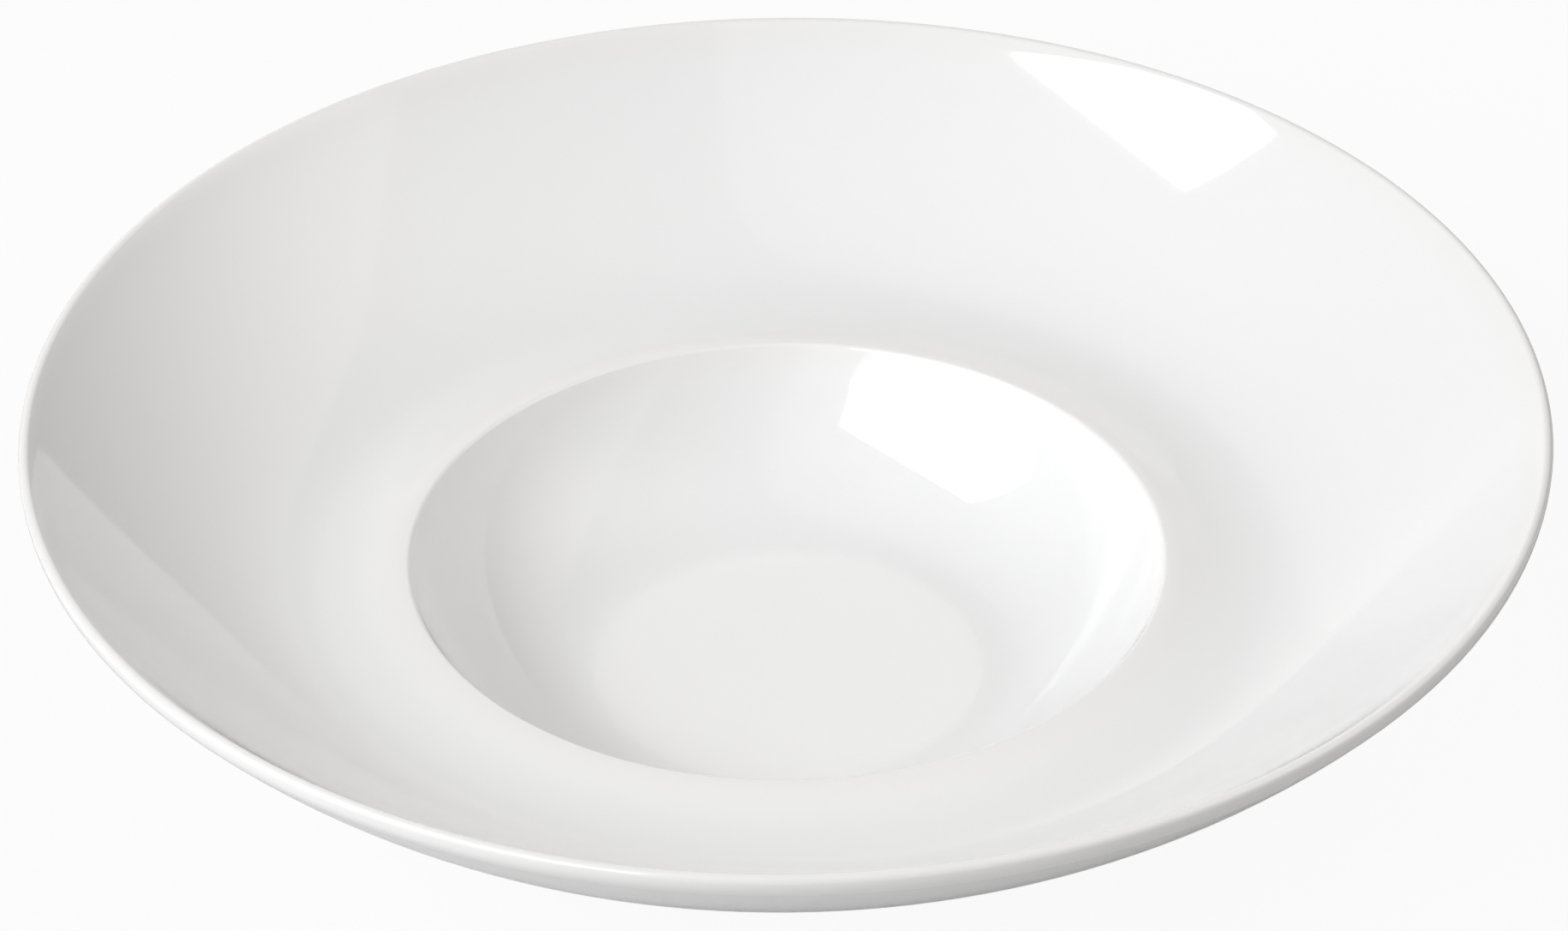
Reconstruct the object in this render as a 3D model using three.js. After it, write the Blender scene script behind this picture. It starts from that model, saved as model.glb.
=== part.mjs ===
// A deep plate of white glazed porcelain: a wide hollow rim that sweeps down to a shallow trough, a raised
// edge round a deep well, and a foot ring. One turned clay body carries two coats of glaze, because the
// bearing face of the foot is wiped bare before firing and parts the coat in two.
// Millimetres, +Z up. The origin is on the plate's axis, on the plane that the foot stands on.

import * as THREE from 'three';

const { degToRad } = THREE.MathUtils;

// Sizes of the finished plate
const PLATE_DIAMETER = 270;
const LIP_RADIUS = 1.1;
const LIP_FLANK_RADIUS = 5;
const RIM_ANGLE = degToRad(50);
const RIM_DROP = 30.3;
const RIDGE_WIDTH = 15.5;
const RIDGE_HEIGHT = 2.3;
const WELL_DIAMETER = 136;
const WELL_EDGE_RADIUS = 0.9;
const WELL_WALL_ANGLE = degToRad(66);
const WELL_DEPTH = 25;
const WELL_FLOOR_DIAMETER = 74;
const WALL_THICKNESS = 5;
const UNDERSIDE_ANGLE = degToRad(8);

// Foot ring
const FOOT_DIAMETER = 104;
const FOOT_WIDTH = 6;
const FOOT_HEIGHT = 3.2;
const FOOT_FILLET = 3;
const FOOT_EDGE_BEVEL = 0.7;

// Glaze, with the gap that keeps its coats clear of the body
const GLAZE_THICKNESS = 0.35;
const GLAZE_GAP = 0.1;
const GLAZE_LINE = 1.3;

// How far each curve's handles reach, as shares of its width
const SWEEP_START_REACH = 0.26;
const SWEEP_END_REACH = 0.32;
const WALL_START_REACH = 0.38;
const WALL_END_REACH = 0.22;
const RIDGE_CREST_REACH = 0.2;
const RIDGE_TROUGH_REACH = 0.5;
const UNDERSIDE_REACH = 0.45;

// Where the underside leaves the well wall, as a share of the wall's curve
const UNDERSIDE_PARTING = 0.7;

// Facets round the axis, how far a facet may stray from its curve, and the steps that measure a curve's turning
const TURN_SEGMENTS = 48;
const FACET_SAG = 0.25;
const TURNING_STEPS = 24;

// Heights and radii that follow from the sizes
const recessHeight = FOOT_HEIGHT;
const floorHeight = recessHeight + WALL_THICKNESS;
const crestHeight = floorHeight + WELL_DEPTH;
const troughHeight = crestHeight - RIDGE_HEIGHT;
const lipHeight = crestHeight + RIM_DROP;
const floorRadius = WELL_FLOOR_DIAMETER / 2;
const crestRadius = WELL_DIAMETER / 2;
const troughRadius = crestRadius + RIDGE_WIDTH;
const plateRadius = PLATE_DIAMETER / 2;
const footRadius = FOOT_DIAMETER / 2;
const footInnerRadius = footRadius - FOOT_WIDTH;

// A profile is drawn in the half plane of radius and height. It runs out over the upper side, round the lip
// and back along the underside, so the plate's outside is always on its left.
const at = (radius, height) => new THREE.Vector2(radius, height);
const heading = (angle) => at(Math.cos(angle), Math.sin(angle));

// A smooth curve from one point and heading to another. Each handle reaches its share of the curve's width.
function smoothCurve(start, startAngle, startReach, end, endAngle, endReach) {
  const width = Math.abs(end.x - start.x);
  const startHandle = heading(startAngle).multiplyScalar(startReach * width / Math.abs(Math.cos(startAngle)));
  const endHandle = heading(endAngle).multiplyScalar(endReach * width / Math.abs(Math.cos(endAngle)));
  return new THREE.CubicBezierCurve(start, startHandle.add(start), end.clone().sub(endHandle), end);
}

// A round corner that turns clockwise about its centre
function roundCorner(centre, radius, startAngle, endAngle) {
  return new THREE.EllipseCurve(centre.x, centre.y, radius, radius, startAngle, endAngle, true);
}

// The count of straight facets that stay within the facet sag of a curve
function facetCount(curve) {
  let turning = 0;
  for (let i = 1; i <= TURNING_STEPS; i += 1) {
    const before = curve.getTangent((i - 1) / TURNING_STEPS);
    turning += Math.abs(before.cross(curve.getTangent(i / TURNING_STEPS)));
  }
  return Math.ceil(Math.sqrt(curve.getLength() * turning / (8 * FACET_SAG)));
}

// Points along a stretch of a curve, each with the direction that points out of the plate
function sampleCurve(curve, from = 0, to = 1) {
  const steps = Math.max(1, Math.round(facetCount(curve) * Math.abs(to - from)));
  const samples = [];
  for (let i = 0; i <= steps; i += 1) {
    const share = from + (to - from) * i / steps;
    const tangent = curve.getTangent(share);
    samples.push({ point: curve.getPoint(share), outward: at(-tangent.y, tangent.x) });
  }
  return samples;
}

// Stretches that meet share one sample where they join
function joinStretches(stretches) {
  return stretches.flatMap((samples, index) => (index === 0 ? samples : samples.slice(1)));
}

// The same surface, seen from the other side of a wall of that thickness
function otherSide(samples, thickness) {
  return samples.map(({ point, outward }) => ({
    point: point.clone().addScaledVector(outward, -thickness),
    outward: outward.clone().negate(),
  }));
}

// The upper side, with the tight roll over the lip and the wider rounding of its flank outside
function makeUpperSide() {
  const edgeCentre = at(crestRadius, crestHeight - WELL_EDGE_RADIUS);
  const wallTopAngle = Math.PI / 2 + WELL_WALL_ANGLE;
  const wallTop = heading(wallTopAngle).multiplyScalar(WELL_EDGE_RADIUS).add(edgeCentre);
  const lipCentre = at(plateRadius - LIP_RADIUS, lipHeight - LIP_RADIUS);
  const flankCentre = at(plateRadius - LIP_FLANK_RADIUS, lipCentre.y);
  const lipStartAngle = Math.PI / 2 + RIM_ANGLE;
  const rimTop = heading(lipStartAngle).multiplyScalar(LIP_RADIUS).add(lipCentre);
  const floorEdge = at(floorRadius, floorHeight);
  const crest = at(crestRadius, crestHeight);
  const trough = at(troughRadius, troughHeight);

  const floor = new THREE.LineCurve(at(0, floorHeight), floorEdge);
  const wall = smoothCurve(floorEdge, 0, WALL_START_REACH, wallTop, WELL_WALL_ANGLE, WALL_END_REACH);
  const edge = roundCorner(edgeCentre, WELL_EDGE_RADIUS, wallTopAngle, Math.PI / 2);
  const ridge = smoothCurve(crest, 0, RIDGE_CREST_REACH, trough, 0, RIDGE_TROUGH_REACH);
  const sweep = smoothCurve(trough, 0, SWEEP_START_REACH, rimTop, RIM_ANGLE, SWEEP_END_REACH);
  const lip = roundCorner(lipCentre, LIP_RADIUS, lipStartAngle, 0);
  const flank = roundCorner(flankCentre, LIP_FLANK_RADIUS, 0, RIM_ANGLE - Math.PI / 2);
  return { floor, wall, edge, ridge, sweep, lip, flank };
}

// The underside runs from the lip's flank to the axis, as if there were no foot
function makeUnderside({ floor, wall, flank }) {
  const inward = Math.PI;
  const underTroughAngle = inward + UNDERSIDE_ANGLE;
  const underTrough = at(troughRadius, troughHeight - WALL_THICKNESS);
  const underWall = otherSide(sampleCurve(wall, 0, UNDERSIDE_PARTING).reverse(), WALL_THICKNESS);
  const underFloor = otherSide(sampleCurve(floor).reverse(), WALL_THICKNESS);
  const parting = underWall[0].point;
  const partingAngle = inward + wall.getTangent(UNDERSIDE_PARTING).angle();
  const rim = smoothCurve(
    flank.getPoint(1), inward + RIM_ANGLE, SWEEP_END_REACH, underTrough, underTroughAngle, SWEEP_START_REACH);
  const shoulder = smoothCurve(
    underTrough, underTroughAngle, UNDERSIDE_REACH, parting, partingAngle, UNDERSIDE_REACH);
  return joinStretches([sampleCurve(rim), sampleCurve(shoulder), underWall, underFloor]);
}

// The stretch of the underside that lies outside a radius, ending exactly there
function outsideOf(radius, samples) {
  const next = samples.findIndex(({ point }) => point.x < radius);
  const before = samples[next - 1];
  const after = samples[next];
  const share = (before.point.x - radius) / (before.point.x - after.point.x);
  const point = before.point.clone().lerp(after.point, share);
  const outward = before.outward.clone().lerp(after.outward, share).normalize();
  return [...samples.slice(0, next), { point, outward }];
}

// From the underside down the outer face of the foot, to the line where the glaze stops
function makeFootOutside({ point, outward }) {
  const steepness = -outward.x / outward.y;
  const corner = at(footRadius, point.y - (point.x - footRadius) * steepness);
  const room = corner.y - GLAZE_LINE;
  const faceTop = at(footRadius, corner.y - Math.min(FOOT_FILLET, room / 2));
  const fillet = new THREE.QuadraticBezierCurve(point, corner, faceTop);
  const face = new THREE.LineCurve(faceTop, at(footRadius, GLAZE_LINE));
  return [sampleCurve(fillet), sampleCurve(face)];
}

// From the glaze line on the inner face of the foot, up into the recess and in to the axis
function makeRecess() {
  const room = recessHeight - GLAZE_LINE;
  const radius = Math.min(FOOT_FILLET, room / 2);
  const centre = at(footInnerRadius - radius, recessHeight - radius);
  const face = new THREE.LineCurve(at(footInnerRadius, GLAZE_LINE), at(footInnerRadius, centre.y));
  const fillet = new THREE.EllipseCurve(centre.x, centre.y, radius, radius, 0, Math.PI / 2);
  const ceiling = new THREE.LineCurve(at(centre.x, recessHeight), at(0, recessHeight));
  return [sampleCurve(face), sampleCurve(fillet), sampleCurve(ceiling)];
}

// Points of a surface moved into the plate by a depth
function sunkBy(depth, samples) {
  return samples.map(({ point, outward }) => point.clone().addScaledVector(outward, -depth));
}

// The bare bearing face of the foot, between the two glaze lines, on a body sunk by a depth
function bearingFace(depth) {
  const outer = footRadius - depth;
  const inner = footInnerRadius + depth;
  return [
    at(outer, FOOT_EDGE_BEVEL),
    at(outer - FOOT_EDGE_BEVEL, 0),
    at(inner + FOOT_EDGE_BEVEL, 0),
    at(inner, FOOT_EDGE_BEVEL),
  ];
}

// A coat of glaze on a surface, as an outline that starts and ends on the axis
function coatOutline(samples) {
  const outside = sunkBy(0, samples);
  const inside = sunkBy(GLAZE_THICKNESS, samples).reverse();
  const startsOnAxis = samples[0].point.x === 0;
  return startsOnAxis ? [...outside, ...inside] : [...inside, ...outside];
}

// Turns an outline about the plate's axis. The lathe wants the outside on the right, so the outline is reversed.
function turn(name, outline, material) {
  const geometry = new THREE.LatheGeometry(outline.toReversed(), TURN_SEGMENTS);
  geometry.rotateX(Math.PI / 2);
  const mesh = new THREE.Mesh(geometry, material);
  mesh.name = name;
  return mesh;
}

const upper = makeUpperSide();
const underside = outsideOf(footRadius + FOOT_FILLET, makeUnderside(upper));
const coatSurface = joinStretches([
  sampleCurve(upper.floor),
  sampleCurve(upper.wall),
  sampleCurve(upper.edge),
  sampleCurve(upper.ridge),
  sampleCurve(upper.sweep),
  sampleCurve(upper.lip),
  sampleCurve(upper.flank),
  underside,
  ...makeFootOutside(underside.at(-1)),
]);
const recessSurface = joinStretches(makeRecess());

const bodyDepth = GLAZE_THICKNESS + GLAZE_GAP;
const bodyOutline = [
  ...sunkBy(bodyDepth, coatSurface),
  ...bearingFace(bodyDepth),
  ...sunkBy(bodyDepth, recessSurface),
];

const biscuit = new THREE.MeshStandardMaterial({ color: 0xe9e6df, roughness: 0.75, metalness: 0 });
const glaze = new THREE.MeshStandardMaterial({ color: 0xf4f4f2, roughness: 0.06, metalness: 0 });

const plate = new THREE.Group();
plate.name = 'deep_plate';
plate.add(turn('porcelain_body', bodyOutline, biscuit));
plate.add(turn('glaze_coat', coatOutline(coatSurface), glaze));
plate.add(turn('foot_recess_glaze', coatOutline(recessSurface), glaze));

export default plate;
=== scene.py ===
"""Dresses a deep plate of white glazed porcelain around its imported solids.

The plate is turned from one section, as on a potter's wheel: a clay body with a bare foot, a coat of glaze
over the well, the rim and the underside, and a second coat in the recess inside the foot. Metres, +Z up,
with the origin on the plate's axis and on the plane that the foot stands on.
"""

import logging
import math
from dataclasses import dataclass, field
from enum import Enum
from itertools import pairwise
from typing import ClassVar

import bpy
import numpy as np
from mathutils import Euler, Matrix, Vector
from mathutils.geometry import interpolate_bezier
from mathutils.kdtree import KDTree


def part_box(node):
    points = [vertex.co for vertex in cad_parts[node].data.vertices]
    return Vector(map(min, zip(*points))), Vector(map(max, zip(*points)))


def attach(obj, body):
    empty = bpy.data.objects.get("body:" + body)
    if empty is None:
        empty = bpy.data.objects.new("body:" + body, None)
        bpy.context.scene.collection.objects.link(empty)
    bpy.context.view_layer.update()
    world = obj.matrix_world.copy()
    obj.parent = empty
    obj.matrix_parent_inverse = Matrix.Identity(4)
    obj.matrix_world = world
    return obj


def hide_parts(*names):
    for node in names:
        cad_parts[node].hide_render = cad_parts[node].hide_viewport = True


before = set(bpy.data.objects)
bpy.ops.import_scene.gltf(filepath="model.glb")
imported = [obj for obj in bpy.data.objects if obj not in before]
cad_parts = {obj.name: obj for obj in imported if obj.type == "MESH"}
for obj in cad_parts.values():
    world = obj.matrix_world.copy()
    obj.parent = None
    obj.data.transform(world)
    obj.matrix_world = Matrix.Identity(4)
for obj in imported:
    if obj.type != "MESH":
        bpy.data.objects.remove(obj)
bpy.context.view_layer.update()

log = logging.getLogger("deep_plate")

BODY = "root"
CLEARANCE = 0.000002
FILLET_REACH = 2 / 3
UPRIGHT = math.pi / 2
MM_PER_METRE = 1000
POOL_AND_SHADE_ATTRIBUTE = "glaze_pool_and_shade"
VALUE_SOCKET = "NodeSocketFloat"
PHOTO_WIDTH = 1830
WHITE = (1.0, 1.0, 1.0, 1.0)
GLOSS_WHITENESS = 0.12

Section = list[Vector]
Colour = tuple[float, float, float]


class CadNode(Enum):
    """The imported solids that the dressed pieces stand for."""

    CLAY = "porcelain_body"
    COAT = "glaze_coat"
    RECESS = "foot_recess_glaze"


class Slot(Enum):
    """The material slots."""

    BISCUIT = "biscuit"
    GLAZE = "white_glaze"


class PanelShape(Enum):
    """The outlines that a soft light comes in."""

    SQUARE = "RECTANGLE"
    ROUND = "ELLIPSE"


def heading(angle: float) -> Vector:
    """Gives the unit direction at an angle from the outward radius."""
    return Vector((math.cos(angle), math.sin(angle)))


def sweep(start: Vector, start_angle: float, start_reach: float,
          end: Vector, end_angle: float, end_reach: float, steps: int) -> Section:
    """Draws a smooth curve from one point and heading to another.

    Args:
        start: Where the curve begins.
        start_angle: Its heading there.
        start_reach: How far its first handle reaches, as a share of the curve's width.
        end: Where the curve ends.
        end_angle: Its heading there.
        end_reach: How far its second handle reaches, as a share of the curve's width.
        steps: The count of straight steps along it.

    Returns:
        The points along the curve.
    """
    width = abs(end.x - start.x)
    start_handle = start + heading(start_angle) * (start_reach * width / abs(math.cos(start_angle)))
    end_handle = end - heading(end_angle) * (end_reach * width / abs(math.cos(end_angle)))
    return interpolate_bezier(start, start_handle, end_handle, end, steps + 1)


def fillet(start: Vector, corner: Vector, end: Vector, steps: int) -> Section:
    """Rounds a corner between two points, tangent to both of its sides.

    Args:
        start: The point on the first side.
        corner: The sharp corner.
        end: The point on the second side.
        steps: The count of straight steps round it.

    Returns:
        The points round the corner.
    """
    start_handle = start.lerp(corner, FILLET_REACH)
    end_handle = end.lerp(corner, FILLET_REACH)
    return interpolate_bezier(start, start_handle, end_handle, end, steps + 1)


def arc(centre: Vector, radius: float, start_angle: float, end_angle: float, steps: int) -> Section:
    """Draws a round stretch about a centre.

    Args:
        centre: The middle of the arc.
        radius: Its radius.
        start_angle: The angle where it begins.
        end_angle: The angle where it ends.
        steps: The count of straight steps along it.

    Returns:
        The points along the arc.
    """
    return [centre + radius * heading(angle) for angle in np.linspace(start_angle, end_angle, steps + 1)]


def straight(start: Vector, end: Vector, steps: int) -> Section:
    """Draws a straight stretch as a number of equal steps."""
    return [start.lerp(end, i / steps) for i in range(steps + 1)]


def join(*stretches: Section) -> Section:
    """Joins stretches that share the point where they meet."""
    joined = list(stretches[0])
    for stretch in stretches[1:]:
        joined.extend(stretch[1:])
    return joined


def coarse(section: Section, skip: int) -> Section:
    """Keeps both ends of a section that stays out of sight, and every few points between."""
    return [section[0], *section[skip:-skip:skip], section[-1]]


def sunk(section: Section, depth: float) -> Section:
    """Moves a surface into the plate, whose outside is on the left of the section's run.

    Args:
        section: The points along the surface.
        depth: How far each point moves in.

    Returns:
        The points of the surface at that depth.
    """
    places = np.array(section)
    run = np.gradient(places, axis=0)
    run /= np.linalg.norm(run, axis=1, keepdims=True)
    inward = np.stack([run[:, 1], -run[:, 0]], axis=1)
    moved = places + depth * inward
    moved[:, 0] = np.where(places[:, 0] == 0, 0, moved[:, 0])
    return [Vector(place) for place in moved]


@dataclass(frozen=True)
class PlateSizes:
    """The plate's sizes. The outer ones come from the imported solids, and angles are in radians."""

    plate_radius: float
    lip_height: float
    glaze_line: float
    foot_inner_radius: float
    lip_radius: float = 0.0011
    lip_flank_radius: float = 0.005
    lip_flank_angle: float = math.radians(50)
    lip_ease_radius: float = 0.03
    lip_ease_angle: float = math.radians(43)
    rim_angle: float = math.radians(47.5)
    rim_drop: float = 0.0303
    ridge_width: float = 0.0155
    ridge_height: float = 0.0023
    well_radius: float = 0.068
    well_edge_radius: float = 0.0009
    well_wall_angle: float = math.radians(66)
    well_depth: float = 0.025
    well_floor_radius: float = 0.037
    wall_thickness: float = 0.005
    underside_angle: float = math.radians(8)
    foot_width: float = 0.006
    foot_fillet: float = 0.003
    foot_edge: float = 0.0007
    recess_fillet: float = 0.00095
    glaze_thickness: float = 0.00035
    glaze_gap: float = 0.0001

    @classmethod
    def from_frame(cls) -> "PlateSizes":
        """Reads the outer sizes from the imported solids, and stays a hair inside them."""
        coat_low, coat_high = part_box(CadNode.COAT.value)
        recess_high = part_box(CadNode.RECESS.value)[1]
        return cls(
            plate_radius=coat_high.x - CLEARANCE,
            lip_height=coat_high.z - CLEARANCE,
            glaze_line=coat_low.z,
            foot_inner_radius=recess_high.x - cls.glaze_thickness - CLEARANCE,
        )

    @property
    def crest_height(self) -> float:
        """The height of the raised edge round the well."""
        return self.lip_height - self.rim_drop

    @property
    def trough_height(self) -> float:
        """The height of the rim's lowest circle, outside the raised edge."""
        return self.crest_height - self.ridge_height

    @property
    def trough_radius(self) -> float:
        """The radius of the rim's lowest circle."""
        return self.well_radius + self.ridge_width

    @property
    def floor_height(self) -> float:
        """The height of the well's floor."""
        return self.crest_height - self.well_depth

    @property
    def recess_height(self) -> float:
        """The height of the recess's ceiling, inside the foot."""
        return self.floor_height - self.wall_thickness

    @property
    def foot_radius(self) -> float:
        """The outer radius of the foot ring."""
        return self.foot_inner_radius + self.foot_width

    @property
    def glaze_end_height(self) -> float:
        """The height where a coat's surface ends and its rounded edge begins."""
        return self.glaze_line + self.glaze_thickness / 2

    @property
    def body_depth(self) -> float:
        """How far the clay lies under the glazed surface."""
        return self.glaze_thickness + self.glaze_gap


@dataclass(frozen=True)
class PlateSection:
    """The plate's section, drawn out over the upper side, round the lip and back along the underside.

    The reaches give each curve's handles as shares of its width, and the steps its fineness.
    """

    sizes: PlateSizes
    sweep_start_reach: float = 0.26
    sweep_end_reach: float = 0.32
    wall_start_reach: float = 0.38
    wall_end_reach: float = 0.22
    ridge_crest_reach: float = 0.2
    ridge_trough_reach: float = 0.5
    shoulder_reach: float = 0.45
    parting: float = 0.7
    long_steps: int = 40
    short_steps: int = 16
    corner_steps: int = 12
    roll_steps: int = 28
    hidden_skip: int = 3

    def wall(self) -> Section:
        """Draws the well's wall, from the floor up to its rounded edge."""
        sizes = self.sizes
        top = self.edge_centre() + sizes.well_edge_radius * heading(UPRIGHT + sizes.well_wall_angle)
        base = Vector((sizes.well_floor_radius, sizes.floor_height))
        return sweep(base, 0, self.wall_start_reach,
                     top, sizes.well_wall_angle, self.wall_end_reach, self.long_steps)

    def edge_centre(self) -> Vector:
        """Gives the middle of the rounding on the raised edge."""
        return Vector((self.sizes.well_radius, self.sizes.crest_height - self.sizes.well_edge_radius))

    def lip(self) -> Section:
        """Draws the lip: a soft easing inside it, a tight roll over its top and a rounding outside."""
        sizes = self.sizes
        height = sizes.lip_height - sizes.lip_radius
        roll_centre = Vector((sizes.plate_radius - sizes.lip_radius, height))
        roll_start = UPRIGHT + sizes.lip_ease_angle
        ease_centre = roll_centre + (sizes.lip_radius - sizes.lip_ease_radius) * heading(roll_start)
        ease_start = UPRIGHT + sizes.rim_angle
        flank_centre = Vector((sizes.plate_radius - sizes.lip_flank_radius, height))
        flank_end = sizes.lip_flank_angle - UPRIGHT
        return join(
            arc(ease_centre, sizes.lip_ease_radius, ease_start, roll_start, self.corner_steps),
            arc(roll_centre, sizes.lip_radius, roll_start, 0, self.roll_steps),
            arc(flank_centre, sizes.lip_flank_radius, 0, flank_end, self.corner_steps),
        )

    def upper_side(self) -> Section:
        """Draws the floor, the well's wall, its raised edge, the trough and the hollow rim."""
        sizes = self.sizes
        wall = self.wall()
        crest = Vector((sizes.well_radius, sizes.crest_height))
        trough = Vector((sizes.trough_radius, sizes.trough_height))
        return join(
            straight(Vector((0, sizes.floor_height)), wall[0], self.short_steps),
            wall,
            arc(self.edge_centre(), sizes.well_edge_radius,
                UPRIGHT + sizes.well_wall_angle, UPRIGHT, self.roll_steps),
            sweep(crest, 0, self.ridge_crest_reach,
                  trough, 0, self.ridge_trough_reach, self.short_steps),
            sweep(trough, 0, self.sweep_start_reach,
                  self.lip()[0], sizes.rim_angle, self.sweep_end_reach, self.long_steps),
        )

    def underside(self) -> Section:
        """Draws the underside, from the lip to where the foot's fillet begins."""
        sizes = self.sizes
        inward = math.pi
        under_trough = Vector((sizes.trough_radius, sizes.trough_height - sizes.wall_thickness))
        trough_angle = inward + sizes.underside_angle
        wall = self.wall()
        shared = wall[:round(self.parting * self.long_steps) + 1]
        under_wall = sunk(shared, sizes.wall_thickness)[::-1]
        parting_run = shared[-1] - shared[-2]
        parting_angle = inward + math.atan2(parting_run.y, parting_run.x)
        whole = join(
            sweep(self.lip()[-1], inward + sizes.lip_flank_angle, self.sweep_end_reach,
                  under_trough, trough_angle, self.sweep_start_reach, self.long_steps),
            sweep(under_trough, trough_angle, self.shoulder_reach,
                  under_wall[0], parting_angle, self.shoulder_reach, self.short_steps),
            under_wall,
        )
        return [point for point in whole if point.x > sizes.foot_radius + sizes.foot_fillet]

    def coat_surface(self) -> Section:
        """Draws the glazed surface, from the middle of the well round to the glaze line on the foot."""
        sizes = self.sizes
        underside = self.underside()
        last = underside[-1]
        run = last - underside[-2]
        corner = last + run * ((last.x - sizes.foot_radius) / -run.x)
        face_top = corner - Vector((0, sizes.foot_fillet))
        face_end = Vector((sizes.foot_radius, sizes.glaze_end_height))
        return join(
            self.upper_side(),
            self.lip(),
            underside,
            fillet(last, corner, face_top, self.corner_steps),
            straight(face_top, face_end, self.corner_steps // 2),
        )

    def recess_surface(self) -> Section:
        """Draws the glazed surface inside the foot, from the glaze line in to the axis."""
        sizes = self.sizes
        face_start = Vector((sizes.foot_inner_radius, sizes.glaze_end_height))
        corner = Vector((sizes.foot_inner_radius, sizes.recess_height))
        face_top = corner - Vector((0, sizes.recess_fillet))
        ceiling = corner - Vector((sizes.recess_fillet, 0))
        return join(
            straight(face_start, face_top, self.corner_steps // 2),
            fillet(face_top, corner, ceiling, self.corner_steps),
            straight(ceiling, Vector((0, sizes.recess_height)), self.long_steps),
        )

    def coat_outline(self) -> Section:
        """Draws the main coat of glaze as a shell, with a rounded edge at the glaze line."""
        surface = self.coat_surface()
        under = coarse(sunk(surface, self.sizes.glaze_thickness), self.hidden_skip)
        return join(surface, self.glaze_edge(surface[-1], under[-1]), under[::-1])

    def recess_outline(self) -> Section:
        """Draws the coat inside the foot as a shell, with a rounded edge at the glaze line."""
        surface = self.recess_surface()
        under = sunk(surface, self.sizes.glaze_thickness)
        return join(under[::-1], self.glaze_edge(under[0], surface[0]), surface)

    def glaze_edge(self, start: Vector, end: Vector) -> Section:
        """Rounds the edge where a coat stops above the bare foot."""
        radius = (start - end).length / 2
        return arc(start.lerp(end, 0.5), radius, 0, -math.pi, self.corner_steps // 2)

    def clay_outline(self) -> Section:
        """Draws the clay body under the glaze, with the bare, ground face that it stands on."""
        sizes = self.sizes
        depth = sizes.body_depth
        coat = sunk(self.coat_surface(), depth)
        recess = sunk(self.recess_surface(), depth)
        outer_corner = Vector((coat[-1].x, 0))
        inner_corner = Vector((recess[0].x, 0))
        up = Vector((0, sizes.foot_edge))
        across = Vector((sizes.foot_edge, 0))
        outer = fillet(outer_corner + up, outer_corner, outer_corner - across, self.corner_steps)
        inner = fillet(inner_corner + across, inner_corner, inner_corner + up, self.corner_steps)
        return coat + outer + inner + recess


@dataclass(frozen=True)
class Wheel:
    """The wheel that turns a section about the plate's axis."""

    segments: int = 180
    crease: float = math.radians(40)
    merge_distance: float = 1e-7

    def turn(self, name: str, outline: Section) -> bpy.types.Object:
        """Draws a section that starts and ends on the axis, and spins it into a closed shape.

        Args:
            name: The piece's name.
            outline: The points of the section.

        Returns:
            The turned piece, with its place in its mesh.
        """
        bpy.ops.object.select_all(action="DESELECT")
        bpy.ops.mesh.primitive_circle_add(vertices=3, radius=self.merge_distance)
        piece = bpy.context.object
        piece.name = name
        piece.data.name = name
        bpy.ops.object.mode_set(mode="EDIT")
        bpy.ops.mesh.select_all(action="SELECT")
        bpy.ops.mesh.merge(type="CENTER")
        bpy.ops.transform.translate(value=(outline[0].x, 0, outline[0].y))
        for before, after in pairwise(outline):
            step = after - before
            bpy.ops.mesh.extrude_region_move(TRANSFORM_OT_translate={"value": (step.x, 0, step.y)})
        bpy.ops.mesh.select_all(action="SELECT")
        bpy.ops.mesh.spin(steps=self.segments, angle=math.tau, center=(0, 0, 0), axis=(0, 0, 1))
        bpy.ops.mesh.select_all(action="SELECT")
        bpy.ops.mesh.remove_doubles(threshold=self.merge_distance)
        bpy.ops.mesh.normals_make_consistent(inside=False)
        bpy.ops.object.mode_set(mode="OBJECT")
        bpy.ops.object.shade_smooth_by_angle(angle=self.crease)
        bpy.ops.object.modifier_add(type="WEIGHTED_NORMAL")
        shading = piece.modifiers[-1]
        shading.keep_sharp = True
        bpy.ops.object.modifier_apply(modifier=shading.name)
        return piece


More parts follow.
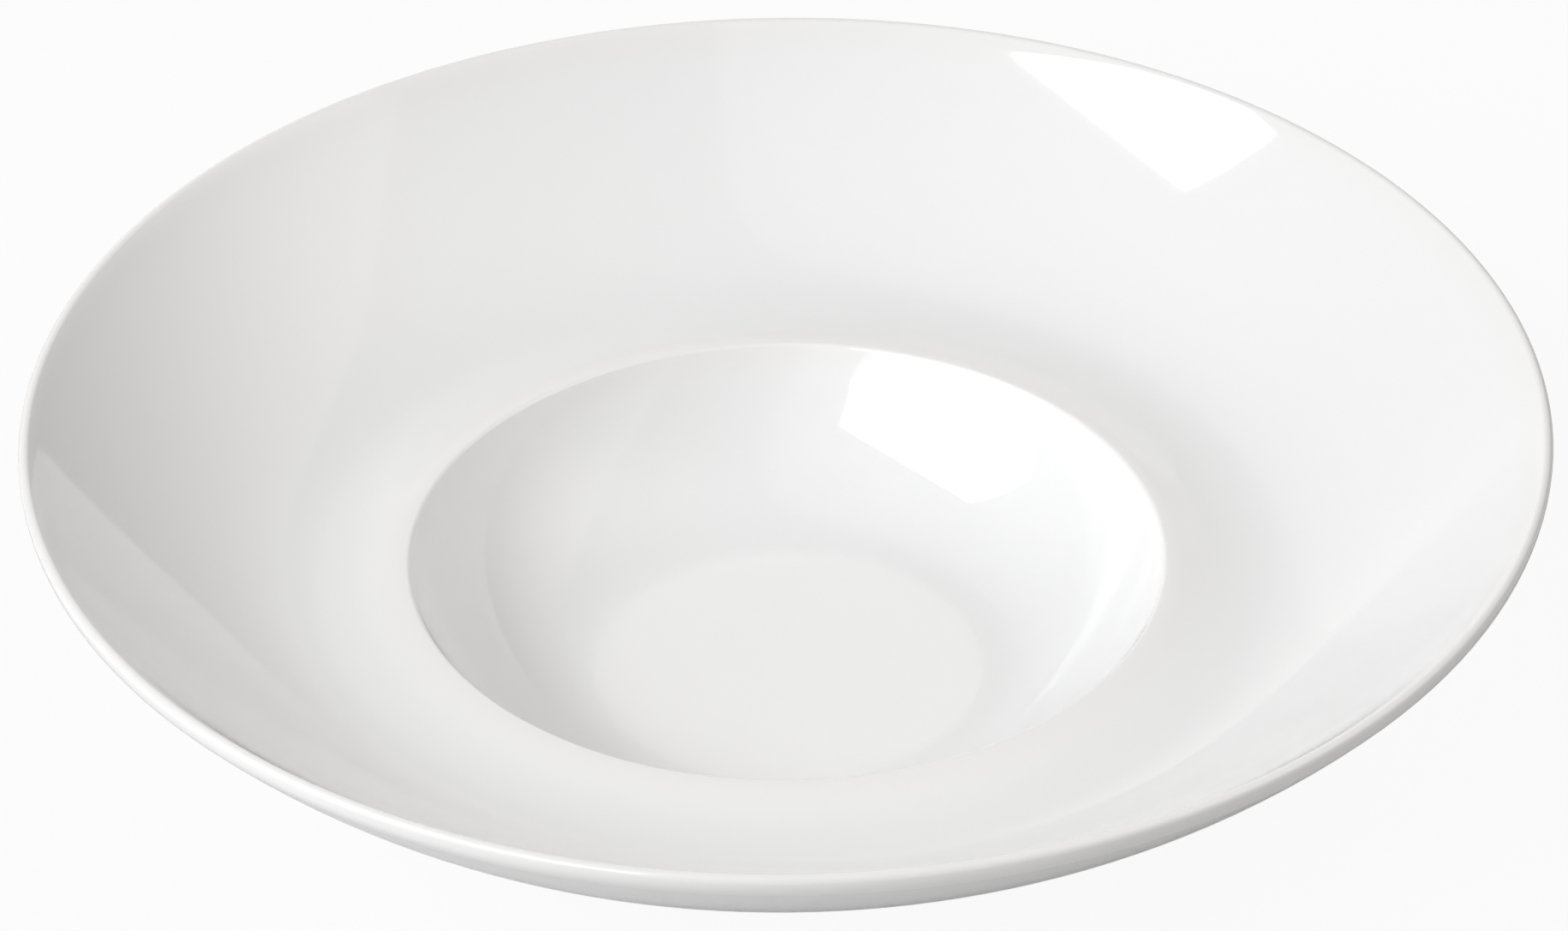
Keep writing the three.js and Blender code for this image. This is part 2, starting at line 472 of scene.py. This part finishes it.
@dataclass(frozen=True)
class GlazeFlow:
    """How the glaze runs before it sets: thin over sharp edges, deep in hollows. The depth also places the
    painted shade in the hollows.
    """

    reach: float = 0.016
    spread: float = 0.003

    def depths(self, surface: Section) -> np.ndarray:
        """Works out the glaze's depth along a surface from how sharply it bends.

        Args:
            surface: The points along the glazed surface.

        Returns:
            One depth for each point, from 0 where it is thinnest to 1 where it is deepest.
        """
        runs = np.diff(np.array(surface), axis=0)
        lengths = np.linalg.norm(runs, axis=1)
        angles = np.unwrap(np.arctan2(runs[:, 1], runs[:, 0]))
        turning = np.diff(angles) / ((lengths[1:] + lengths[:-1]) / 2)
        hollowness = np.pad(turning, 1, mode="edge")
        along = np.concatenate([[0], np.cumsum(lengths)])
        nearness = np.exp(-0.5 * ((along[:, None] - along[None, :]) / self.spread) ** 2)
        weights = nearness * np.gradient(along)[None, :]
        flowed = weights @ hollowness / weights.sum(axis=1)
        return 0.5 + 0.5 * np.tanh(flowed * self.reach)

    def mark(self, piece: bpy.types.Object, surface: Section) -> None:
        """Stores the glaze's depth at each point of a piece, which also places the painted shade in the
        hollows.

        Args:
            piece: The turned coat of glaze.
            surface: The glazed surface that it was turned from.
        """
        depths = self.depths(surface)
        tree = KDTree(len(surface))
        for index, point in enumerate(surface):
            tree.insert((point.x, 0, point.y), index)
        tree.balance()
        values = []
        for vertex in piece.data.vertices:
            radius = math.hypot(vertex.co.x, vertex.co.y)
            values.append(depths[tree.find((radius, 0, vertex.co.z))[1]])
        attribute = piece.data.attributes.new(POOL_AND_SHADE_ATTRIBUTE, "FLOAT", "POINT")
        attribute.data.foreach_set("value", values)


class NodeSheet:
    """A tree of shader nodes, with short ways to add nodes and link them."""

    def __init__(self, tree: bpy.types.NodeTree) -> None:
        """Takes a node tree and clears it."""
        self.tree = tree
        tree.nodes.clear()

    def add(self, kind: str, inputs: dict | None = None, **settings: object) -> bpy.types.Node:
        """Adds a node.

        Args:
            kind: The node's type, without the prefix that all shader nodes share.
            inputs: A value, or an output to link, for each named or numbered input.
            settings: The node's own settings.

        Returns:
            The node.
        """
        node = self.tree.nodes.new("ShaderNode" + kind)
        for key, value in settings.items():
            setattr(node, key, value)
        for key, value in (inputs or {}).items():
            if isinstance(value, bpy.types.NodeSocket):
                self.tree.links.new(value, node.inputs[key])
            else:
                node.inputs[key].default_value = value
        return node

    def math(self, operation: str, *values: object) -> bpy.types.NodeSocket:
        """Adds a sum of one or more values, and gives its result."""
        return self.add("Math", dict(enumerate(values)), operation=operation).outputs[0]

    def noise(self, place: bpy.types.NodeSocket, scale: object, detail: float) -> bpy.types.NodeSocket:
        """Adds noise at a scale, and gives its value."""
        return self.add("TexNoise", {"Vector": place, "Scale": scale, "Detail": detail}).outputs["Fac"]


def new_material(name: str) -> tuple[bpy.types.Material, NodeSheet]:
    """Starts a material, and gives it with its empty node tree."""
    material = bpy.data.materials.new(name)
    material.use_nodes = True
    return material, NodeSheet(material.node_tree)


class SharedEffect:
    """A shader node group of named values, built once and placed in several materials."""

    name: ClassVar[str]
    inputs: ClassVar[dict[str, float]]
    outputs: ClassVar[tuple[str, ...]]

    @classmethod
    def group(cls) -> bpy.types.NodeTree:
        """Gives the node group, which is built when it is first asked for."""
        known = bpy.data.node_groups.get(cls.name)
        if known:
            return known
        tree = bpy.data.node_groups.new(cls.name, "ShaderNodeTree")
        for name, value in cls.inputs.items():
            socket = tree.interface.new_socket(name, in_out="INPUT", socket_type=VALUE_SOCKET)
            socket.default_value = value
        for name in cls.outputs:
            tree.interface.new_socket(name, in_out="OUTPUT", socket_type=VALUE_SOCKET)
        sheet = NodeSheet(tree)
        given = tree.nodes.new("NodeGroupInput").outputs
        results = cls.draw(sheet, given)
        end = tree.nodes.new("NodeGroupOutput")
        for name, socket in results.items():
            tree.links.new(socket, end.inputs[name])
        return tree

    @classmethod
    def draw(cls, sheet: NodeSheet, given: bpy.types.NodeOutputs) -> dict[str, bpy.types.NodeSocket]:
        """Draws the group's nodes.

        Args:
            sheet: The group's own node tree.
            given: The group's inputs.

        Returns:
            The socket that feeds each output.
        """
        raise NotImplementedError

    @classmethod
    def place(cls, sheet: NodeSheet) -> bpy.types.NodeOutputs:
        """Places the group in a material's node tree, and gives the group's outputs."""
        return sheet.add("Group", node_tree=cls.group()).outputs


class GlazeWaves(SharedEffect):
    """The slow waves and the fine skin of a glaze that has melted and set, and its drifts of tone."""

    name = "glaze_waves"
    inputs = {"Wave scale": 26.0, "Skin scale": 420.0, "Skin share": 0.004, "Drift scale": 14.0}
    outputs = ("Height", "Drift")
    wave_detail: ClassVar[float] = 1.0
    skin_detail: ClassVar[float] = 2.0
    drift_detail: ClassVar[float] = 3.0

    @classmethod
    def draw(cls, sheet: NodeSheet, given: bpy.types.NodeOutputs) -> dict[str, bpy.types.NodeSocket]:
        """Draws two heights of noise that are added, and a drift of tone."""
        place = sheet.add("TexCoord").outputs["Object"]
        waves = sheet.noise(place, given["Wave scale"], cls.wave_detail)
        skin = sheet.noise(place, given["Skin scale"], cls.skin_detail)
        drift = sheet.noise(place, given["Drift scale"], cls.drift_detail)
        height = sheet.math("MULTIPLY_ADD", skin, given["Skin share"], waves)
        return {"Height": height, "Drift": drift}


class ClayGrain(SharedEffect):
    """The grain of bare fired clay, and the fine rings that grinding leaves on it."""

    name = "clay_grain"
    inputs = {"Grain scale": 1400.0, "Ring scale": 900.0, "Ring share": 0.35}
    outputs = ("Height", "Stain")
    grain_detail: ClassVar[float] = 4.0
    ring_waver: ClassVar[float] = 0.6
    stain_scale: ClassVar[float] = 90.0
    stain_detail: ClassVar[float] = 5.0

    @classmethod
    def draw(cls, sheet: NodeSheet, given: bpy.types.NodeOutputs) -> dict[str, bpy.types.NodeSocket]:
        """Draws noise for the grain, rings about the axis for the grinding, and slow stains."""
        place = sheet.add("TexCoord").outputs["Object"]
        grain = sheet.noise(place, given["Grain scale"], cls.grain_detail)
        stain = sheet.noise(place, cls.stain_scale, cls.stain_detail)
        ring_inputs = {"Vector": place, "Scale": given["Ring scale"], "Distortion": cls.ring_waver}
        rings = sheet.add("TexWave", ring_inputs, wave_type="RINGS", rings_direction="Z")
        height = sheet.math("MULTIPLY_ADD", rings.outputs["Fac"], given["Ring share"], grain)
        return {"Height": height, "Stain": stain}


@dataclass(frozen=True)
class GlazeFinish:
    """A clear, glossy glaze on white porcelain: warm where it is thin, cool where it lies deep. The deep
    tone is also a little darker, as painted shade in the hollows.
    """

    name: str
    thin: Colour = (0.866, 0.86, 0.848)
    plain: Colour = (0.868, 0.866, 0.86)
    # The pooled tone: cooler, as deep glaze is, and a little darker as painted shade in the hollows.
    deep: Colour = (0.845, 0.85, 0.848)
    plain_depth: float = 0.5
    drift: float = 0.012
    roughness: float = 0.045
    roughness_drift: float = 0.02
    refraction: float = 1.5
    wave_height: float = 0.00006

    def material(self) -> bpy.types.Material:
        """Builds the finish as a material."""
        material, sheet = new_material(self.name)
        # Painted shade: the depth mask darkens the hollows a little, on top of the cooler colour of pooled
        # glaze.
        depth = sheet.add("Attribute", attribute_name=POOL_AND_SHADE_ATTRIBUTE).outputs["Fac"]
        ramp = sheet.add("ValToRGB", {"Fac": depth})
        ramp.color_ramp.elements.new(self.plain_depth)
        for element, colour in zip(ramp.color_ramp.elements, (self.thin, self.plain, self.deep)):
            element.color = (*colour, 1)
        waves = GlazeWaves.place(sheet)
        tone = sheet.math("MULTIPLY_ADD", waves["Drift"], 2 * self.drift, 1 - self.drift)
        toned = sheet.add("VectorMath", {0: ramp.outputs["Color"], 1: tone}, operation="MULTIPLY")
        rough = sheet.math("MULTIPLY_ADD", waves["Drift"], self.roughness_drift, self.roughness)
        bump = sheet.add("Bump", {
            "Height": waves["Height"],
            "Strength": 1.0,
            "Distance": self.wave_height,
        })
        shader = sheet.add("BsdfPrincipled", {
            "Base Color": toned.outputs["Vector"],
            "Roughness": rough,
            "IOR": self.refraction,
            "Normal": bump.outputs["Normal"],
        })
        sheet.add("OutputMaterial", {"Surface": shader.outputs["BSDF"]})
        return material


@dataclass(frozen=True)
class BiscuitFinish:
    """Bare porcelain, fired without glaze and ground flat where it stands."""

    name: str
    clean: Colour = (0.81, 0.79, 0.74)
    stained: Colour = (0.66, 0.63, 0.58)
    stain_start: float = 0.45
    stain_full: float = 0.75
    roughness: float = 0.62
    roughness_grain: float = 0.2
    grain_height: float = 0.00002
    grain_strength: float = 0.6

    def material(self) -> bpy.types.Material:
        """Builds the finish as a material."""
        material, sheet = new_material(self.name)
        grain = ClayGrain.place(sheet)
        stain = sheet.add("MapRange", {
            "Value": grain["Stain"],
            "From Min": self.stain_start,
            "From Max": self.stain_full,
        })
        colour = sheet.add("MixRGB", {0: stain.outputs[0], 1: (*self.clean, 1), 2: (*self.stained, 1)})
        rough = sheet.math("MULTIPLY_ADD", grain["Height"], self.roughness_grain, self.roughness)
        bump = sheet.add("Bump", {
            "Height": grain["Height"],
            "Strength": self.grain_strength,
            "Distance": self.grain_height,
        })
        shader = sheet.add("BsdfPrincipled", {
            "Base Color": colour.outputs[0],
            "Roughness": rough,
            "Normal": bump.outputs["Normal"],
        })
        sheet.add("OutputMaterial", {"Surface": shader.outputs["BSDF"]})
        return material


@dataclass
class TurnedPart:
    """One turned piece of the plate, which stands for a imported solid."""

    section: PlateSection
    wheel: Wheel
    node: ClassVar[CadNode]
    slot: ClassVar[Slot]
    piece: bpy.types.Object | None = field(default=None, init=False)

    def outline(self) -> Section:
        """Gives the section that the piece is turned from."""
        raise NotImplementedError

    def finish(self) -> GlazeFinish | BiscuitFinish:
        """Gives the piece's finish."""
        raise NotImplementedError

    def build(self) -> None:
        """Turns the piece and seats it on the frame."""
        self.piece = self.wheel.turn("turned_" + self.node.value, self.outline())
        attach(self.piece, BODY)
        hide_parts(self.node.value)

    def dress(self) -> None:
        """Gives the piece its finish."""
        self.piece.data.materials.append(self.finish().material())

    def report(self) -> None:
        """Says what was made."""
        mesh = self.piece.data
        size = tuple(round(side * MM_PER_METRE, 1) for side in self.piece.dimensions)
        log.info("%s: %d faces, %s mm", self.piece.name, len(mesh.polygons), size)


class ClayBody(TurnedPart):
    """The turned clay, which shows only as the bare ring that the plate stands on."""

    node = CadNode.CLAY
    slot = Slot.BISCUIT

    def outline(self) -> Section:
        """Gives the body's section."""
        return self.section.clay_outline()

    def finish(self) -> BiscuitFinish:
        """Gives bare fired porcelain."""
        return BiscuitFinish("bare_biscuit")


class GlazedPart(TurnedPart):
    """A coat of glaze, which runs thin over edges and deep in hollows, with painted shade where it lies
    deep.
    """

    slot = Slot.GLAZE

    def surface(self) -> Section:
        """Gives the glazed surface, along the coat's section."""
        raise NotImplementedError

    def dress(self) -> None:
        """Marks where the glaze lies thin and deep, and so where shade is painted, and gives the coat its
        finish.
        """
        GlazeFlow().mark(self.piece, self.surface())
        super().dress()


class GlazeCoat(GlazedPart):
    """The coat of glaze over the well, the rim, the lip and the underside."""

    node = CadNode.COAT

    def surface(self) -> Section:
        """Gives the surface from the middle of the well round to the foot."""
        return self.section.coat_surface()

    def outline(self) -> Section:
        """Gives the coat's section."""
        return self.section.coat_outline()

    def finish(self) -> GlazeFinish:
        """Gives a glossy glaze."""
        return GlazeFinish("white_glaze")


class RecessGlaze(GlazedPart):
    """The coat of glaze in the recess inside the foot."""

    node = CadNode.RECESS

    def surface(self) -> Section:
        """Gives the surface from the foot in to the axis."""
        return self.section.recess_surface()

    def outline(self) -> Section:
        """Gives the coat's section."""
        return self.section.recess_outline()

    def finish(self) -> GlazeFinish:
        """Gives the same glaze, a little less smooth, because it isn't polished."""
        return GlazeFinish("recess_glaze", roughness=0.07, roughness_drift=0.05)


def whiteness(sheet: NodeSheet) -> bpy.types.NodeSocket:
    """Gives how white the surroundings show: fully when seen or through glass, faintly in a gloss."""
    path = sheet.add("LightPath").outputs
    seen = sheet.math("MAXIMUM", path["Is Camera Ray"], path["Is Transmission Ray"])
    return sheet.math("MULTIPLY_ADD", path["Is Glossy Ray"], GLOSS_WHITENESS, seen)


@dataclass(frozen=True)
class SkyLobe:
    """A soft brightening of the studio's walls and ceiling round one direction, in degrees."""

    azimuth: float
    elevation: float
    strength: float
    sharpness: float = 8.0

    def direction(self) -> Vector:
        """Gives the direction of the lobe's middle."""
        flat, up = math.radians(self.azimuth), math.radians(self.elevation)
        return Vector((math.cos(up) * math.cos(flat), math.cos(up) * math.sin(flat), math.sin(up)))


@dataclass(frozen=True)
class Panel:
    """An upright soft light.

    Lengths are in metres, and its azimuth, in degrees, is where its back points. Its plane stands at the
    distance from the plate's axis, and its middle is shifted along that plane.
    """

    name: str
    shape: PanelShape
    bottom: float
    top: float
    watts: float
    azimuth: float = -152.5
    distance: float = 1.565
    shift: float = 0.28
    width: float = 2.23
    tint: Colour = (0.98, 0.985, 1.0)

    def build(self) -> None:
        """Hangs the panel."""
        lamp = bpy.data.lights.new(self.name, "AREA")
        lamp.shape = self.shape.value
        lamp.size = self.width
        lamp.size_y = self.top - self.bottom
        lamp.energy = self.watts
        lamp.color = self.tint
        panel = bpy.data.objects.new(self.name, lamp)
        bpy.context.scene.collection.objects.link(panel)
        flat = math.radians(self.azimuth)
        outward = Vector((math.cos(flat), math.sin(flat), 0))
        along = Vector((-math.sin(flat), math.cos(flat), 0))
        panel.rotation_euler = (-outward).to_track_quat("-Z", "Y").to_euler()
        panel.location = outward * self.distance + along * self.shift
        panel.location.z = (self.top + self.bottom) / 2


@dataclass(frozen=True)
class Floor:
    """A wide pale floor. A glow lifts it to white where it is seen, and the plate's shadow stays on it.

    It lies a hair below the foot, so that the two never share a plane.
    """

    size: float = 14.0
    gap: float = 0.00005
    colour: Colour = (0.67, 0.67, 0.67)
    glow: float = 0.93

    def build(self) -> None:
        """Lays the floor."""
        bpy.ops.object.select_all(action="DESELECT")
        bpy.ops.mesh.primitive_plane_add(size=self.size, location=(0, 0, -self.gap))
        floor = bpy.context.object
        floor.name = "studio_floor"
        floor.data.materials.append(self.material())

    def material(self) -> bpy.types.Material:
        """Builds the floor's paint."""
        material, sheet = new_material("floor_paint")
        share = sheet.math("MULTIPLY", whiteness(sheet), self.glow)
        lit = sheet.add("BsdfDiffuse", {"Color": (*self.colour, 1)})
        glow = sheet.add("Emission", {"Color": WHITE, "Strength": 1.0})
        surface = sheet.add("MixShader", {0: share, 1: lit.outputs[0], 2: glow.outputs[0]})
        sheet.add("OutputMaterial", {"Surface": surface.outputs[0]})
        return material


@dataclass(frozen=True)
class PhotoCamera:
    """A camera at the photograph's angle.

    Angles are in degrees, and the distance is from the middle of the lip's circle.
    """

    distance: float = 1.35
    elevation: float = 34.07
    pitch: float = 34.47
    yaw: float = 0.017
    roll: float = -0.51
    focal_pixels: float = 8934.0
    sensor_width: float = 36.0

    def build(self, lip_height: float) -> None:
        """Sets up the camera.

        Args:
            lip_height: The height of the plate's lip, which the distance is measured from.
        """
        camera = bpy.data.cameras.new("photo_camera")
        camera.sensor_width = self.sensor_width
        camera.lens = self.sensor_width * self.focal_pixels / PHOTO_WIDTH
        stand = bpy.data.objects.new("photo_camera", camera)
        bpy.context.scene.collection.objects.link(stand)
        up = math.radians(self.elevation)
        place = Vector((0, -math.cos(up), math.sin(up))) * self.distance + Vector((0, 0, lip_height))
        aim = Euler((UPRIGHT - math.radians(self.pitch), 0, math.radians(self.yaw))).to_matrix()
        spin = Matrix.Rotation(math.radians(self.roll), 3, "Z")
        stand.matrix_world = Matrix.Translation(place) @ (aim @ spin).to_4x4()
        bpy.context.scene.camera = stand


@dataclass(frozen=True)
class Studio:
    """The floor, the lights and the camera."""

    camera: PhotoCamera = PhotoCamera()
    floor: Floor = Floor()
    panels: tuple[Panel, ...] = (
        Panel("upper_panel", PanelShape.SQUARE, bottom=1.05, top=2.2, watts=52.5),
        Panel("lower_panel", PanelShape.ROUND, bottom=0.2, top=1.9, watts=19.0),
    )
    lobes: tuple[SkyLobe, ...] = (
        SkyLobe(azimuth=0, elevation=45, strength=1.88),
        SkyLobe(azimuth=60, elevation=45, strength=0.3),
        SkyLobe(azimuth=90, elevation=30, strength=0.3),
        SkyLobe(azimuth=105, elevation=0, strength=1.3),
    )
    sky_tint: Colour = (1.0, 0.983, 0.965)

    def build(self, lip_height: float) -> None:
        """Sets the stage.

        Args:
            lip_height: The height of the plate's lip.
        """
        bpy.context.scene.view_settings.view_transform = "Standard"
        self.floor.build()
        for panel in self.panels:
            panel.build()
        self.build_sky()
        self.camera.build(lip_height)
        log.info("studio: %d panels, %d lobes of soft light", len(self.panels), len(self.lobes))

    def build_sky(self) -> None:
        """Lights the plate softly from the right and the back, and shows white where it is seen."""
        world = bpy.data.worlds.new("studio_sky")
        world.use_nodes = True
        bpy.context.scene.world = world
        sheet = NodeSheet(world.node_tree)
        facing = sheet.add("TexCoord").outputs["Generated"]
        total = 0.0
        for lobe in self.lobes:
            near = sheet.add("VectorMath", {0: facing, 1: lobe.direction()}, operation="DOT_PRODUCT")
            kept = sheet.math("MAXIMUM", near.outputs["Value"], 0.0)
            soft = sheet.math("POWER", kept, lobe.sharpness)
            total = sheet.math("MULTIPLY_ADD", soft, lobe.strength, total)
        light = sheet.add("Background", {"Color": (*self.sky_tint, 1), "Strength": total})
        white = sheet.add("Background", {"Color": WHITE, "Strength": 1.0})
        mixed = sheet.add("MixShader", {0: whiteness(sheet), 1: light.outputs[0], 2: white.outputs[0]})
        sheet.add("OutputWorld", {"Surface": mixed.outputs[0]})


def main() -> None:
    """Builds the plate and its studio."""
    logging.basicConfig(level=logging.INFO, format="%(name)s: %(message)s")
    sizes = PlateSizes.from_frame()
    section = PlateSection(sizes)
    wheel = Wheel()
    for part in (ClayBody(section, wheel), GlazeCoat(section, wheel), RecessGlaze(section, wheel)):
        part.build()
        part.dress()
        part.report()
    Studio().build(sizes.lip_height)


if __name__ == "__main__":
    main()
